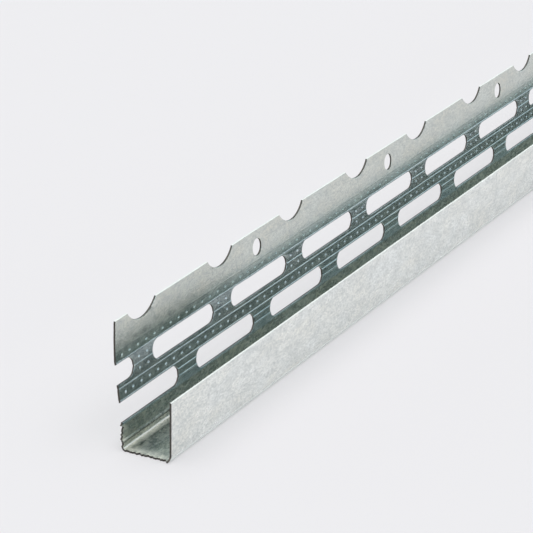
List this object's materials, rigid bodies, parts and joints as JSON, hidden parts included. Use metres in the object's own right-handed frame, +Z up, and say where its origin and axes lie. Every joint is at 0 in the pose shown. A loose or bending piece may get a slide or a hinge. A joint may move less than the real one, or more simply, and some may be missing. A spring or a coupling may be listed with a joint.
{
  "type": "drywall edge bead",
  "caption": "Galvanised steel edge bead: a J-shaped channel that caps the edge of a plasterboard, with a tall slotted wing, a notched top edge and nail holes.",
  "frame": {"origin": "middle of the bead's length and depth, on the underside of the web", "axes": "+X along the bead, +Y from the plain leg towards the wing, +Z up the wing"},
  "size_m": [2, 0.0164, 0.0319],
  "materials": {
    "galvanised_steel": "hot-dip galvanised sheet with fine spangle, satin"
  },
  "bodies": {
    "root": {"edge_bead": "galvanised_steel"}
  },
  "joints": []
}
